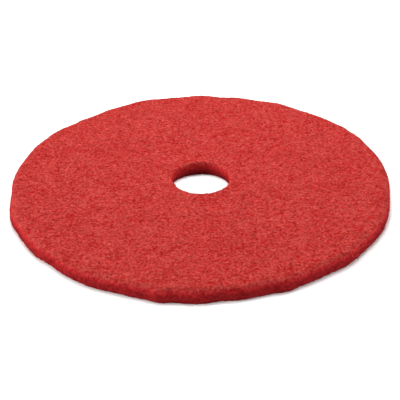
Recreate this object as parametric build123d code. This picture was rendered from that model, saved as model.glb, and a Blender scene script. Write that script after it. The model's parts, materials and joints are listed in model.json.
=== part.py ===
from build123d import *
import os

# A round floor-machine buffing pad: one thick disc of bonded, non-woven fibre, with an open centre hole.
# It lies flat. The origin is the centre of its underside, and +Z points up along its axis.
# Driving dimensions, in millimetres.
pad_diameter = 508.0  # the 20 inch pad size
hole_diameter = 82.5  # the 3 1/4 inch hole that clears a pad driver's centring hub
pad_thickness = 19.0
rim_rounding = 2.5  # the cut rims are soft, and the pad is the same on both faces


def cut_disc():
    """The flat annulus that the die cuts from the web of fibre, with square rims."""
    with BuildPart() as disc:
        with BuildSketch(Plane.XY):
            Circle(pad_diameter / 2)
            Circle(hole_diameter / 2, mode=Mode.SUBTRACT)
        extrude(amount=pad_thickness)
    return disc.part


def buffing_pad():
    """The whole pad: the cut disc, with the rims of its outline and of its hole rounded over."""
    disc = cut_disc()
    rims = disc.edges().filter_by(GeomType.CIRCLE)
    return fillet(rims, rim_rounding)


pieces = {"buffing_pad": buffing_pad()}

os.makedirs("parts", exist_ok=True)
for name, piece in pieces.items():
    export_step(piece, f"parts/{name}.step")
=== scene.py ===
import json
import math

import bpy
import numpy as np
from mathutils import Matrix, Vector


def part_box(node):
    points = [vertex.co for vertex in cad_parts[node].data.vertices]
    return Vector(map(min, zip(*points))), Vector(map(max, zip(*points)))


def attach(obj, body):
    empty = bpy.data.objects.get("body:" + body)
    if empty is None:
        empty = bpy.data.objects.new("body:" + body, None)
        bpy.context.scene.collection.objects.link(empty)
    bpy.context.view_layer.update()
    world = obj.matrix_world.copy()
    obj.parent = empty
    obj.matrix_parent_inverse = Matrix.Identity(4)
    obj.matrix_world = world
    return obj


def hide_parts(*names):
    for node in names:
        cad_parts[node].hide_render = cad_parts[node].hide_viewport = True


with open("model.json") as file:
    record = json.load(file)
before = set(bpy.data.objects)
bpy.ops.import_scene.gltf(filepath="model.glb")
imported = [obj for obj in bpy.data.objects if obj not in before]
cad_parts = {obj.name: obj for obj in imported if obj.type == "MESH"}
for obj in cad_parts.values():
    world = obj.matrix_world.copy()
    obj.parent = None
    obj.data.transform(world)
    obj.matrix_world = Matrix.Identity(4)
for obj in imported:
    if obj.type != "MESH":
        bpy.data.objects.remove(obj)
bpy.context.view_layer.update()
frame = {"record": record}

# A floor-machine buffing pad: one disc of crimped red fibres, bonded to each other with resin.
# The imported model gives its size. Everything here is in metres, in the frame of that model.
PAD = "buffing_pad"
MM = 0.001
FULL_TURN = 2 * math.pi
RNG = np.random.default_rng(20)

pad_low, pad_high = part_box(PAD)
HOLE = next(m for m in frame["record"]["mounts"] if m["name"] == "centre_hole")
OUTER_RADIUS = (pad_high.x - pad_low.x) / 2
HOLE_RADIUS = HOLE["dims"]["r_mm"] * MM
THICKNESS = pad_high.z - pad_low.z

# The matted web under the loose strands. The strands stand out of it, to about the pad's own size.
WEB_INSET = 0.4 * MM
WEB_CLEARANCE = 0.1 * MM
OUTER_SPREAD = 0.3 * MM
OUTER_RIM = (9.0 * MM, 10.0 * MM)  # width across the face and height down the wall
OUTER_FOOT = (1.2 * MM, 1.6 * MM)
HOLE_RIM = (3.0 * MM, 10.0 * MM)
HOLE_FOOT = (0.6 * MM, 0.8 * MM)
HOLE_CLOSING = 2.3 * MM
SECTION_STEP = 0.2 * MM
ARC_POINTS = 24

# Lumps in the web and in its colour, as lumps() takes them: how strong, how wide, and which pattern.
BROAD_SWELL = (0.45 * MM, 75 * MM, 1)
NARROW_SWELL = (0.3 * MM, 24 * MM, 2)
BROAD_TUFTS = (0.25 * MM, 7 * MM, 3)
FINE_TUFTS = (0.15 * MM, 3.2 * MM, 4)
UNEVEN_HOLE = (0.5 * MM, 22 * MM, 5)
PORE_LUMPS = (1, 3.4 * MM, 6)
LAYERS = (0.5 * MM, 4 * MM, 7)
SMALL_PATCHES = (1, 9 * MM, 8)
LARGE_PATCHES = (0.5, 26 * MM, 9)

# Ranges are as rise() takes them: where the change starts, and how far on it is complete.
PORE_OPENING = (0.1, 0.5)  # of the pore lumps
PORE_DEPTH = 0.4 * MM
LAYER_SCALE = (0.35, 0.35, 2.2)  # of the points, so that the layers are long across and thin in height
TUFTS_LOST = 0.5  # the share of the tufts and pores that a cut wall lacks
SWELL_HEIGHTS = (0.3, 0.5)  # of the thickness, so the underside stays flat on the floor
OUTLINE_REACH = 60 * MM
HOLE_REACH = 20 * MM


# ---- The pad's section and its surface ----

def section():
    """The web's cut section as a closed line of points: distance along it, radius, height and outward normal.

    It starts at the foot of the hole's wall, then goes up that wall, out over the upper face, down the outer
    wall and back under the pad. Each corner has its place and the side of it that the web is on, both across
    and in height, then the size of its rounding and the angle at which the rounding's arc starts.
    """
    inner, outer = HOLE_RADIUS - HOLE_CLOSING + WEB_INSET, OUTER_RADIUS + OUTER_SPREAD - WEB_INSET
    low, high = pad_low.z + WEB_CLEARANCE, pad_high.z - WEB_INSET
    corners = [
        (inner, 1, high, -1, HOLE_RIM, 180),
        (outer, -1, high, -1, OUTER_RIM, 90),
        (outer, -1, low, 1, OUTER_FOOT, 0),
        (inner, 1, low, 1, HOLE_FOOT, -90),
    ]
    points = []
    for r, r_side, z, z_side, (width, height), start in corners:
        turn = np.radians(start - np.linspace(0, 90, ARC_POINTS))
        across = r + r_side * width + width * np.cos(turn)
        points.append(np.stack([across, z + z_side * height + height * np.sin(turn)], 1))
    points = np.concatenate(points + [points[0][:1]])
    gaps = np.hypot(*np.diff(points, axis=0).T)
    along = np.concatenate([[0], np.cumsum(gaps)])
    even = np.arange(0, along[-1], SECTION_STEP)
    r = np.interp(even, along, points[:, 0])
    z = np.interp(even, along, points[:, 1])
    dr = np.roll(r, -1) - np.roll(r, 1)
    dz = np.roll(z, -1) - np.roll(z, 1)
    length = np.hypot(dr, dz)
    return {"s": even, "r": r, "z": z, "nr": -dz / length, "nz": dr / length, "length": along[-1]}


SECTION = section()


def on_section(s, key):
    """The section's radius, height or normal at distances s along it."""
    return np.interp(s, SECTION["s"], SECTION[key], period=SECTION["length"])


# The random numbers that lumps() blends. A turn in radians and a shift in cells set its patterns apart.
LATTICE_CELLS = (61, 53, 59)
LATTICE = RNG.uniform(-1, 1, LATTICE_CELLS)
PATTERN_TURN = 2.1
PATTERN_SHIFT = 17.3


def lumps(points, strength, size, pattern):
    """Smooth random numbers at points, up to strength either way, in lumps about size across.

    Each pattern sees the lattice turned about another axis, so no two patterns line up.
    """
    axis = Vector((0.3 + pattern, 0.7, 0.2 * pattern - 1))
    tilt = Matrix.Rotation(1.0 + PATTERN_TURN * pattern, 3, axis).transposed()
    cells = points @ np.array(tilt) / size + PATTERN_SHIFT * pattern
    corner = np.floor(cells).astype(int)
    t = cells - corner
    t = t * t * (3 - 2 * t)
    total = 0.0
    for i in (0, 1):
        for j in (0, 1):
            for k in (0, 1):
                at = [(corner[:, n] + step) % LATTICE.shape[n] for n, step in enumerate((i, j, k))]
                weight = 1.0
                for n, step in enumerate((i, j, k)):
                    weight = weight * (t[:, n] if step else 1 - t[:, n])
                total = total + weight * LATTICE[at[0], at[1], at[2]]
    return strength * total


def smooth(x):
    """x kept between 0 and 1, and eased at both ends."""
    x = np.clip(x, 0, 1)
    return x * x * (3 - 2 * x)


def rise(x, start, width):
    """How far x has come through the width that follows start, from 0 to 1 and eased at both ends."""
    return smooth((x - start) / width)


# The die leaves the outline a little oval and wavy, and the hole off centre. Bumps are as bumps() takes them,
# and each fades out at BUMP_REACH times its half width.
BUMP_REACH = 1.6
OVAL = 2.1 * MM
OVAL_AT = math.radians(18)
RIM_OFFSET = 0.7 * MM
RIM_OFFSET_AT = math.radians(97)
HOLE_BUMPS = [(150, 16, 1.6), (206, 14, -2.5), (235, 16, -1.5), (180, 8, 1.0)]
HOLE_OFFSET = 1.9 * MM
HOLE_OFFSET_AT = math.radians(-65)
RIM_BUMPS = [
    (11, 6, 1.2), (26, 4, 2.0), (33, 3, 1.8), (52, 5, -2.2), (61, 3, 1.8), (70, 4, -2.0),
    (82, 5, -1.8), (89, 4, 2.4), (110, 5, 3.2), (130, 4, -3.2), (138, 5, -1.6), (148, 5, 1.8),
    (158, 5, 1.7), (186, 6, -2.4), (199, 5, 2.0), (215, 4, 0.8), (224, 4, -2.0), (239, 5, 0.9),
    (248, 5, -1.3), (259, 3, 3.0), (269, 5, 1.8), (275, 4, -1.5), (287, 5, -1.5), (293, 3, 1.8),
    (304, 8, -0.9), (316, 5, 1.6), (334, 8, 1.5), (352, 6, -1.6),
]


def bumps(theta, places):
    """The sum at each azimuth of bumps given as (azimuth, half width, outward) in degrees and mm."""
    out = 0.0
    for azimuth, half_width, height in places:
        off = np.degrees(np.angle(np.exp(1j * (theta - math.radians(azimuth)))))
        out = out + height * MM * smooth(1 - np.abs(off) / (BUMP_REACH * half_width))
    return out


def outline(theta):
    """How far the outer wall stands outside the true circle at each azimuth."""
    oval = OVAL * np.cos(2 * (theta - OVAL_AT)) + RIM_OFFSET * np.cos(theta - RIM_OFFSET_AT)
    return oval + bumps(theta, RIM_BUMPS)


def hole_outline(theta):
    """How far the hole's wall stands outside its true circle: it is a little off centre, and uneven."""
    ring = np.stack([np.cos(theta), np.sin(theta), 0 * theta], 1) * HOLE_RADIUS
    off_centre = HOLE_OFFSET * np.cos(theta - HOLE_OFFSET_AT)
    return off_centre + bumps(theta, HOLE_BUMPS) + lumps(ring, *UNEVEN_HOLE)


def plain_points(theta, s):
    """Points of the smooth section at azimuths theta and distances s along it."""
    r, z = on_section(s, "r"), on_section(s, "z")
    return np.stack([r * np.cos(theta), r * np.sin(theta), z], 1)


def pores(points):
    """How open the web is at points, from 0 where the fibres are matted to 1 in the middle of a pore."""
    return rise(lumps(points, *PORE_LUMPS), *PORE_OPENING)


def relief(theta, s):
    """How far the rough surface stands out of the smooth section: tufts and pores, or layers on a wall."""
    plain = plain_points(theta, s)
    wall = np.abs(on_section(s, "nr"))
    tufts = lumps(plain, *BROAD_TUFTS) + lumps(plain, *FINE_TUFTS)
    layers = lumps(plain * np.array(LAYER_SCALE), *LAYERS)
    return (1 - TUFTS_LOST * wall) * (tufts - PORE_DEPTH * pores(plain)) + wall * layers


def surface(theta, s, out):
    """Points at azimuths theta and distances s along the section, moved out of the section by out.

    The outer outline's shape fades away within OUTLINE_REACH of the wall, and the hole's within HOLE_REACH.
    """
    plain = plain_points(theta, s)
    r, z = on_section(s, "r"), plain[:, 2]
    nr, nz = on_section(s, "nr"), on_section(s, "nz")
    outer = smooth((r - OUTER_RADIUS + OUTLINE_REACH) / OUTLINE_REACH)
    inner = smooth((HOLE_RADIUS + HOLE_REACH - r) / HOLE_REACH)
    upper = rise(z, SWELL_HEIGHTS[0] * THICKNESS, SWELL_HEIGHTS[1] * THICKNESS)
    swell = lumps(plain, *BROAD_SWELL) + lumps(plain, *NARROW_SWELL)
    r = r + outer * outline(theta) + inner * hole_outline(theta) + nr * out
    z = np.maximum(z + upper * swell + nz * out, pad_low.z)
    return np.stack([r * np.cos(theta), r * np.sin(theta), z], 1)


# ---- What the material reads at each point ----

# How much paler or deeper the fibres are: at random in patches and from strand to strand, with painted shade
# in the pores and painted light on the rims.
PATCH_TONE = 0.06
PORE_PAINTED_SHADE = -0.06
# Painted light: the rims and the walls are made paler.
RIM_PAINTED_LIGHT = 0.05
STRAND_TONE = 0.05
PAINTED_LIGHT_BY_HEIGHT = 0.3 / MM  # painted light and shade by how far a strand stands out of the web: paler above it, deeper below

# Where the rim's painted light, the walls' painted shade and the darkest red of the painted shade set in, and
# how strong the darkest red gets. Facings are of the normal's part away from or towards the axis, and depths
# are shares of the thickness.
RIM_FACING = (0, 0.5)
CUT_FACING = (0.5, 0.5)
CUT_DEPTH = (0, 0.3)
SHADE_FACING = (0, 0.7)
HOLE_SHADE = 0.93
HOLE_SHADE_POWER = 1.3
WALL_SHADE = 0.52
WALL_SHADE_DEPTH = (0.1, 0.5)
FOOT_SHADE = 0.1
FOOT_SHADE_DEPTH = (0.8, 0.2)


def depth(s):
    """How deep the points at distances s along the section are below the upper face, from 0 to 1."""
    return (pad_high.z - on_section(s, "z")) / THICKNESS


def cut_painted_shade_share(s):
    """How far the points at distances s along the section take the walls' painted shade, a purer red, from 0
    to 1.
    """
    return rise(np.abs(on_section(s, "nr")), *CUT_FACING) * rise(depth(s), *CUT_DEPTH)


def shade_share(s):
    """How much of the darkest red, painted shade, the points get down in the hole and low on the outer wall.
    """
    nr = on_section(s, "nr")
    deep = depth(s)
    # Painted shade: deepest at the foot of the hole's wall, and over the lower part and foot of the outer
    # wall.
    hole = HOLE_SHADE * rise(-nr, *SHADE_FACING) * smooth(deep) ** HOLE_SHADE_POWER
    wall = WALL_SHADE * rise(deep, *WALL_SHADE_DEPTH) + FOOT_SHADE * rise(deep, *FOOT_SHADE_DEPTH)
    return hole + rise(nr, *SHADE_FACING) * wall


def patches_and_painted_light(theta, s):
    """How much paler the fibres are: in patches by how they took the dye, painted shade in the pores, painted
    light on the rims.
    """
    plain = plain_points(theta, s)
    patches = PATCH_TONE * (lumps(plain, *SMALL_PATCHES) + lumps(plain, *LARGE_PATCHES))
    # Painted shade in the pores, and painted light on the rims and walls.
    return patches + PORE_PAINTED_SHADE * pores(plain) + RIM_PAINTED_LIGHT * rise(np.abs(on_section(s, "nr")), *RIM_FACING)


# ---- Meshes ----

# The gaps between the web's points, and how far the rows of points stop short of where the section closes.
TOP_SPACING = 2.0 * MM
WALL_SPACING = 1.5 * MM
UNDER_SPACING = 3.0 * MM
CLOSING_GAP = 0.5 * MM
FLAT = 0.95  # the normal's upright part from which the web's rows count as one of the flat faces
LEVEL = 0.99  # and the part from which strands do

# The strands: sizes, and the ranges that they vary in.
TUBE_SIDES = 3
STRAND_STEPS = 4
STRAND_LENGTH = 5 * MM
STRAND_THICKNESS = 0.5 * MM
LENGTH_SHARES = (0.6, 1.3)
THICKNESS_SHARES = (0.7, 1.3)
ROOT_DEPTH = 0.4 * MM
LIFT = 0.2 * MM  # how far the middle of a strand stands out of the web on average
LIFT_SHAPE = 2.0  # of the gamma distribution that it varies by
LIFT_LIMIT = 3  # times the average
CRIMP = (0.5, 1.1)  # radians to each side
CRIMP_WAVES = (0.8, 1.7)  # along one strand
CURL = 1.8  # radians along one strand, as a standard deviation
AREA_STEPS = 400  # in which strands are shared out by area


def mesh_piece(name, points, triangles, **colours):
    """A smooth-shaded mesh object. colours holds a number for each point, for each attribute to be read."""
    mesh = bpy.data.meshes.new(name)
    mesh.vertices.add(len(points))
    mesh.vertices.foreach_set("co", points.astype(np.float32).ravel())
    mesh.loops.add(triangles.size)
    mesh.loops.foreach_set("vertex_index", triangles.astype(np.int32).ravel())
    mesh.polygons.add(len(triangles))
    mesh.polygons.foreach_set("loop_start", np.arange(0, triangles.size, 3, dtype=np.int32))
    mesh.polygons.foreach_set("use_smooth", np.ones(len(triangles), bool))
    mesh.update(calc_edges=True)
    for key, values in colours.items():
        mesh.attributes.new(key, "FLOAT", "POINT").data.foreach_set("value", values.astype(np.float32))
    piece = bpy.data.objects.new(name, mesh)
    bpy.context.scene.collection.objects.link(piece)
    return piece


def bridge(count_a, count_b, first_a, first_b):
    """The triangles between two rings of count_a and count_b points, which start at first_a and first_b."""
    middles = np.concatenate([(np.arange(count_a) + 0.5) / count_a, (np.arange(count_b) + 0.5) / count_b])
    on_a = np.argsort(middles, kind="stable") < count_a
    i = np.cumsum(on_a) - on_a
    j = np.cumsum(~on_a) - ~on_a
    third = np.where(on_a, first_a + (i + 1) % count_a, first_b + (j + 1) % count_b)
    return np.stack([first_a + i % count_a, third, first_b + j % count_b], 1)


def make_web():
    """The matted body of the pad: rings of points round the axis, row after row, closed into one mesh."""
    rows, s = [], 0.0
    while s < SECTION["length"] - CLOSING_GAP:
        facing = on_section(s, "nz")
        gap = TOP_SPACING if facing > FLAT else UNDER_SPACING if facing < -FLAT else WALL_SPACING
        rows.append((s, UNDER_SPACING if facing < -FLAT else TOP_SPACING))
        s += gap
    counts = [round(FULL_TURN * float(on_section(s, "r")) / gap) for s, gap in rows]
    firsts = np.concatenate([[0], np.cumsum(counts)])
    theta = np.concatenate([np.arange(n) * FULL_TURN / n for n in counts])
    along = np.concatenate([np.full(n, row[0]) for n, row in zip(counts, rows)])
    triangles = []
    for row in range(len(rows)):
        after = (row + 1) % len(rows)
        triangles.append(bridge(counts[row], counts[after], firsts[row], firsts[after]))
    points = surface(theta, along, relief(theta, along))
    # The tone holds painted light and shade, the cut share painted shade on the walls, and the shade share
    # painted shade.
    colours = {"tone": patches_and_painted_light(theta, along), "cut": cut_painted_shade_share(along), "shade": shade_share(along)}
    return mesh_piece("pad_web", points, np.concatenate(triangles), **colours)


def flat_stretch(side):
    """The distances along the section between which it faces up, for side 1, or down, for side -1."""
    at = SECTION["s"][side * SECTION["nz"] > LEVEL]
    return float(at[0]), float(at[-1])


def strand_lines(count, along, around, spread, curl):
    """The middle lines of count crimped strands: azimuths, distances along the section and heights.

    spread is how far their headings stray from the horizontal, or None where they head every way.
    """
    grid = np.linspace(*along, AREA_STEPS)
    area = np.cumsum(on_section(grid, "r"))
    s = np.interp(RNG.uniform(0, area[-1], count), area, grid)
    theta = RNG.uniform(*around, count)
    heading = RNG.uniform(0, FULL_TURN, count)
    if spread is not None:
        heading = RNG.choice([0, math.pi], count) + RNG.normal(0, spread, count)
    crimp = RNG.uniform(*CRIMP, count)
    phase = RNG.uniform(0, FULL_TURN, count)
    waves = RNG.uniform(*CRIMP_WAVES, count)
    bend = RNG.normal(0, curl, count)
    step = STRAND_LENGTH * RNG.uniform(*LENGTH_SHARES, count) / STRAND_STEPS
    top = LIFT * RNG.gamma(LIFT_SHAPE, 1 / LIFT_SHAPE, count).clip(0, LIFT_LIMIT)
    thetas, distances = [theta], [s]
    for k in range(STRAND_STEPS):
        t = k / STRAND_STEPS
        way = heading + crimp * np.sin(FULL_TURN * waves * t + phase) + bend * t
        theta = theta + np.cos(way) * step / on_section(s, "r")
        s = s + np.sin(way) * step
        thetas.append(theta)
        distances.append(s)
    t = np.linspace(0, 1, STRAND_STEPS + 1)[None]
    heights = -ROOT_DEPTH + (top[:, None] + ROOT_DEPTH) * np.sin(math.pi * t)
    return np.stack(thetas, 1), np.stack(distances, 1), heights


def make_strands(name, count, along, around=(0, FULL_TURN), spread=None, curl=CURL):
    """One piece of strands that lie on the web, each a closed tube of three sides with pointed ends."""
    thetas, distances, heights = strand_lines(count, along, around, spread, curl)
    out = relief(thetas.ravel(), distances.ravel()) + heights.ravel()
    line = surface(thetas.ravel(), distances.ravel(), out).reshape(*thetas.shape, 3)
    nr, nz = on_section(distances, "nr"), on_section(distances, "nz")
    normal = np.stack([nr * np.cos(thetas), nr * np.sin(thetas), nz], 2)
    tangent = np.gradient(line, axis=1)
    tangent /= np.linalg.norm(tangent, axis=2, keepdims=True)
    across = np.cross(tangent, normal)
    across /= np.linalg.norm(across, axis=2, keepdims=True)
    up = np.cross(across, tangent)
    radius = STRAND_THICKNESS / 2 * RNG.uniform(*THICKNESS_SHARES, (count, 1, 1))
    spin = RNG.uniform(0, FULL_TURN, (count, 1, 1))
    sides = []
    for k in range(TUBE_SIDES):
        turn = spin + FULL_TURN * k / TUBE_SIDES
        sides.append(line + radius * (np.cos(turn) * up + np.sin(turn) * across))
    points = per_point(line, np.stack(sides, 2))
    points[..., 2] = np.maximum(points[..., 2], pad_low.z)
    # Painted light and shade: strands are paler where they stand out of the web and deeper where they sink
    # into it.
    tone = RNG.normal(0, STRAND_TONE, (count, 1)) + PAINTED_LIGHT_BY_HEIGHT * heights
    tone = tone + patches_and_painted_light(thetas.ravel(), distances.ravel()).reshape(thetas.shape)
    one = tube_triangles(STRAND_STEPS - 1)
    triangles = one[None] + (np.arange(count) * points.shape[1])[:, None, None]
    # The tone holds painted light and shade, the cut share painted shade on the walls, and the shade share
    # painted shade.
    colours = {"tone": tone, "cut": cut_painted_shade_share(distances), "shade": shade_share(distances)}
    for key, values in colours.items():
        values = values[..., None]
        colours[key] = per_point(values, values[:, :, None].repeat(TUBE_SIDES, 2)).ravel()
    return mesh_piece(name, points.reshape(-1, 3), triangles.reshape(-1, 3), **colours)


def per_point(line, sides):
    """Values in the order of a tube's points: first end, the sides of each ring between, last end."""
    count, width = line.shape[0], line.shape[-1]
    return np.concatenate([line[:, :1], sides[:, 1:-1].reshape(count, -1, width), line[:, -1:]], 1)


def tube_triangles(rings):
    """The triangles of one tube of that many rings, with a point before and a point after them."""
    last = 1 + TUBE_SIDES * rings
    faces = []
    for k in range(TUBE_SIDES):
        after = (k + 1) % TUBE_SIDES
        faces.append((0, 1 + k, 1 + after))
        faces.append((last, last - TUBE_SIDES + after, last - TUBE_SIDES + k))
        for ring in range(rings - 1):
            a, b = 1 + TUBE_SIDES * ring + k, 1 + TUBE_SIDES * ring + after
            faces.append((a, a + TUBE_SIDES, b + TUBE_SIDES))
            faces.append((a, b + TUBE_SIDES, b))
    return np.array(faces)


# ---- Materials ----

DEEP_RED = (0.325, 0.005, 0.005)
PALE_RED = (0.465, 0.060, 0.052)
# Painted shade: the walls' purer red stands in for light that bounces between red fibres in the shade.
DEEP_CUT_PAINTED_SHADE_RED = (0.34, 0.004, 0.008)
PALE_CUT_PAINTED_SHADE_RED = (0.60, 0.030, 0.032)
# Painted shade: the darkest red, down in the hole and low on the outer wall.
PAINTED_SHADE_RED = (0.08, 0.001, 0.003)
TUFT_RANGE = (0.3, 0.7)  # of the tone, from the deep colour to the pale one
TUFT_SCALE = 310  # noise cells to a metre, so tufts of about 3 mm
TUFT_DETAIL = 1
TUFT_ROUGHNESS = 0.6
GRAIN_SCALE = 1400
GRAIN_DETAIL = 2
GRAIN_STRENGTH = 0.4
GRAIN_DEPTH = 0.3 * MM
FIBRE_ROUGHNESS = 0.8
FIBRE_SPECULAR = 0.05
FIBRE_SHEEN = 0.04
SHEEN_ROUGHNESS = 0.5
SHEEN_TINT = (1, 0.25, 0.15, 1)


def tone_ramp(nodes, links, tone, deep, pale):
    """The socket of a colour that goes from deep to pale with the tone."""
    ramp = nodes.new("ShaderNodeValToRGB")
    for element, position, colour in zip(ramp.color_ramp.elements, TUFT_RANGE, (deep, pale)):
        element.position = position
        element.color = (*colour, 1)
    links.new(tone, ramp.inputs["Fac"])
    return ramp.outputs["Color"]


def attribute_mix(nodes, links, attribute, colours):
    """The socket of a mix of two colours by the mesh's attribute: each is a socket, or a fixed colour."""
    share = nodes.new("ShaderNodeAttribute")
    share.attribute_name = attribute
    mix = nodes.new("ShaderNodeMix")
    mix.data_type = "RGBA"
    socket = {i.identifier: i for i in mix.inputs}
    links.new(share.outputs["Fac"], socket["Factor_Float"])
    for key, colour in zip(("A_Color", "B_Color"), colours):
        if isinstance(colour, tuple):
            socket[key].default_value = (*colour, 1)
        else:
            links.new(colour, socket[key])
    return next(o for o in mix.outputs if o.identifier == "Result_Color")


def fibre_material():
    """Red resin-coated fibre: deeper and paler tufts a few millimetres across, with a finer grain on them.

    The mesh's attributes vary it: "tone" makes strands and patches paler or deeper, at random and as painted
    light and shade; "cut" turns them to a purer red, which is painted shade on the walls; and "shade" to the
    darkest red, which is painted shade where the fibres shade each other.
    """
    material = bpy.data.materials.new("red_fibre")
    material.use_nodes = True
    nodes, links = material.node_tree.nodes, material.node_tree.links
    shader = nodes["Principled BSDF"]
    place = nodes.new("ShaderNodeTexCoord")
    tufts = nodes.new("ShaderNodeTexNoise")
    tufts.inputs["Scale"].default_value = TUFT_SCALE
    tufts.inputs["Detail"].default_value = TUFT_DETAIL
    tufts.inputs["Roughness"].default_value = TUFT_ROUGHNESS
    tone = nodes.new("ShaderNodeAttribute")
    tone.attribute_name = "tone"
    add = nodes.new("ShaderNodeMath")
    add.operation = "ADD"
    grain = nodes.new("ShaderNodeTexNoise")
    grain.inputs["Scale"].default_value = GRAIN_SCALE
    grain.inputs["Detail"].default_value = GRAIN_DETAIL
    bump = nodes.new("ShaderNodeBump")
    bump.inputs["Strength"].default_value = GRAIN_STRENGTH
    bump.inputs["Distance"].default_value = GRAIN_DEPTH
    links.new(place.outputs["Object"], tufts.inputs["Vector"])
    links.new(place.outputs["Object"], grain.inputs["Vector"])
    links.new(tufts.outputs["Fac"], add.inputs[0])
    links.new(tone.outputs["Fac"], add.inputs[1])
    face = tone_ramp(nodes, links, add.outputs["Value"], DEEP_RED, PALE_RED)
    wall = tone_ramp(nodes, links, add.outputs["Value"], DEEP_CUT_PAINTED_SHADE_RED, PALE_CUT_PAINTED_SHADE_RED)
    # Painted shade: first the walls' purer red, then the darkest red down in the hole and low on the outer
    # wall.
    whole = attribute_mix(nodes, links, "cut", (face, wall))
    shaded = attribute_mix(nodes, links, "shade", (whole, PAINTED_SHADE_RED))
    links.new(shaded, shader.inputs["Base Color"])
    links.new(grain.outputs["Fac"], bump.inputs["Height"])
    links.new(bump.outputs["Normal"], shader.inputs["Normal"])
    shader.inputs["Roughness"].default_value = FIBRE_ROUGHNESS
    shader.inputs["Specular IOR Level"].default_value = FIBRE_SPECULAR
    shader.inputs["Sheen Weight"].default_value = FIBRE_SHEEN
    shader.inputs["Sheen Roughness"].default_value = SHEEN_ROUGHNESS
    shader.inputs["Sheen Tint"].default_value = SHEEN_TINT
    return material


def finish_piece(piece, material):
    """Gives a piece its material, and its slot and body in the part."""
    piece.data.materials.append(material)
    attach(piece, "root")


# ---- The pad ----

# How many strands a piece has, and how far those on the walls stray from the horizontal, in radians.
TOP_SECTORS = 6
TOP_STRANDS = 9500
SIDE_SECTORS = 3
WALL_STRANDS = 5500
WALL_SPREAD = 0.9
UNDER_STRANDS = 4000
HOLE_STRANDS = 2000
HOLE_SPREAD = 0.35
HOLE_CURL = 0.8
UNDER_HOLE_FOOT = -3 * MM  # along the section, so just round the foot of the hole's wall

FACE, UNDERSIDE = flat_stretch(1), flat_stretch(-1)
OUTER_WALL = (FACE[1], UNDERSIDE[0])
HOLE_WALL = (UNDER_HOLE_FOOT, FACE[0])


def sector(k, sectors):
    """The azimuths between which the sector k of that many lies."""
    return FULL_TURN * k / sectors, FULL_TURN * (k + 1) / sectors


fibre_red = fibre_material()
web = make_web()
finish_piece(web, fibre_red)
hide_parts(PAD)

for k in range(TOP_SECTORS):
    strands = make_strands(f"strands_top_{k + 1}", TOP_STRANDS, FACE, sector(k, TOP_SECTORS))
    finish_piece(strands, fibre_red)
for k in range(SIDE_SECTORS):
    around = sector(k, SIDE_SECTORS)
    strands = make_strands(f"strands_wall_{k + 1}", WALL_STRANDS, OUTER_WALL, around, spread=WALL_SPREAD)
    finish_piece(strands, fibre_red)
    finish_piece(make_strands(f"strands_under_{k + 1}", UNDER_STRANDS, UNDERSIDE, around), fibre_red)
strands = make_strands("strands_hole", HOLE_STRANDS, HOLE_WALL, spread=HOLE_SPREAD, curl=HOLE_CURL)
finish_piece(strands, fibre_red)


# ---- Floor, light and camera ----

FLOOR_HALF = 12.0
FLOOR_WHITE = (0.96, 0.96, 0.96, 1)
FLOOR_ROUGHNESS = 0.9
WHITE = (1, 1, 1, 1)
SEEN_STRENGTH = 1.2
AMBIENT_STRENGTH = 0.02


def make_floor():
    """The pale floor that the pad lies on. It reaches far past the picture."""
    mesh = bpy.data.meshes.new("floor")
    corners = [(x * FLOOR_HALF, y * FLOOR_HALF, 0) for x, y in ((-1, -1), (1, -1), (1, 1), (-1, 1))]
    mesh.from_pydata(corners, [], [(0, 1, 2, 3)])
    floor = bpy.data.objects.new("floor", mesh)
    bpy.context.scene.collection.objects.link(floor)
    material = bpy.data.materials.new("pale_floor")
    material.use_nodes = True
    shader = material.node_tree.nodes["Principled BSDF"]
    shader.inputs["Base Color"].default_value = FLOOR_WHITE
    shader.inputs["Roughness"].default_value = FLOOR_ROUGHNESS
    mesh.materials.append(material)


def place_light(name, lamp, azimuth, elevation, distance=0.0):
    """Puts a lamp in that direction from the origin, in degrees, at that distance and facing it."""
    light = bpy.data.objects.new(name, lamp)
    bpy.context.scene.collection.objects.link(light)
    light.rotation_euler = (0, math.radians(90 - elevation), math.radians(azimuth))
    light.location = light.rotation_euler.to_matrix() @ Vector((0, 0, distance))


def make_key_light(azimuth, elevation, distance, width, strength):
    """A round softbox, near enough that the side of the pad under it is the brighter one.

    strength is about how bright the lamp alone makes a white surface at the origin that faces it.
    """
    lamp = bpy.data.lights.new("key", "AREA")
    lamp.shape = "DISK"
    lamp.size = width
    lamp.energy = strength * (math.pi * distance) ** 2
    place_light("key", lamp, azimuth, elevation, distance)


def make_fill_light(name, azimuth, elevation, spread, strength):
    """A far softbox that lights everything evenly: its direction and its spread are in degrees.

    strength is how bright the lamp alone makes a white surface that faces it.
    """
    lamp = bpy.data.lights.new(name, "SUN")
    lamp.angle = math.radians(spread)
    lamp.energy = math.pi * strength
    place_light(name, lamp, azimuth, elevation)


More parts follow.
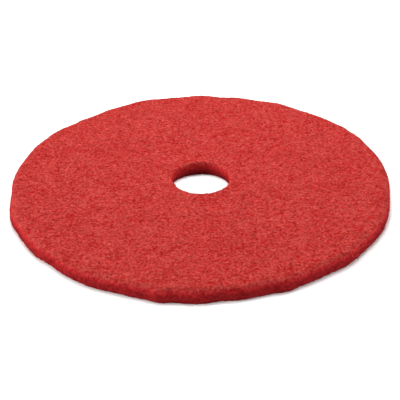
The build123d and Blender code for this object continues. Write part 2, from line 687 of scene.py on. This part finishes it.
def make_world():
    """A white backdrop as the camera sees it, which lights the pad only faintly."""
    world = bpy.data.worlds.new("studio")
    bpy.context.scene.world = world
    world.use_nodes = True
    nodes, links = world.node_tree.nodes, world.node_tree.links
    seen = nodes["Background"]
    seen.inputs["Color"].default_value = WHITE
    seen.inputs["Strength"].default_value = SEEN_STRENGTH
    ambient = nodes.new("ShaderNodeBackground")
    ambient.inputs["Color"].default_value = WHITE
    ambient.inputs["Strength"].default_value = AMBIENT_STRENGTH
    path = nodes.new("ShaderNodeLightPath")
    mix = nodes.new("ShaderNodeMixShader")
    links.new(path.outputs["Is Camera Ray"], mix.inputs["Fac"])
    links.new(ambient.outputs[0], mix.inputs[1])
    links.new(seen.outputs[0], mix.inputs[2])
    links.new(mix.outputs[0], nodes["World Output"].inputs["Surface"])


CAMERA_DISTANCE = 1.318
CAMERA_ELEVATION = math.radians(31.55)
CAMERA_ROLL = math.radians(-0.78)
CAMERA_LENS = 87.0  # in mm, as the sensor is
CAMERA_SENSOR = 36
CAMERA_AIM = Vector((-0.0007, -0.0294, 0))


def make_camera():
    """The camera in front of the pad, which looks down at CAMERA_AIM."""
    data = bpy.data.cameras.new("camera")
    data.lens = CAMERA_LENS
    data.sensor_width = CAMERA_SENSOR
    camera = bpy.data.objects.new("camera", data)
    bpy.context.scene.collection.objects.link(camera)
    place = CAMERA_DISTANCE * Vector((0, -math.cos(CAMERA_ELEVATION), math.sin(CAMERA_ELEVATION)))
    look = (CAMERA_AIM - place).to_track_quat("-Z", "Y").to_matrix()
    camera.matrix_world = Matrix.Translation(place) @ (look @ Matrix.Rotation(CAMERA_ROLL, 3, "Z")).to_4x4()
    bpy.context.scene.camera = camera


make_floor()
make_key_light(azimuth=97, elevation=73, distance=1.35, width=1.03, strength=1.27)
make_fill_light("left_fill", azimuth=184, elevation=9, spread=50, strength=2.1)
make_fill_light("right_fill", azimuth=0, elevation=9, spread=50, strength=1.35)
make_fill_light("front_fill", azimuth=270, elevation=70, spread=60, strength=0.08)
make_world()
make_camera()
bpy.context.scene.view_settings.view_transform = "Standard"
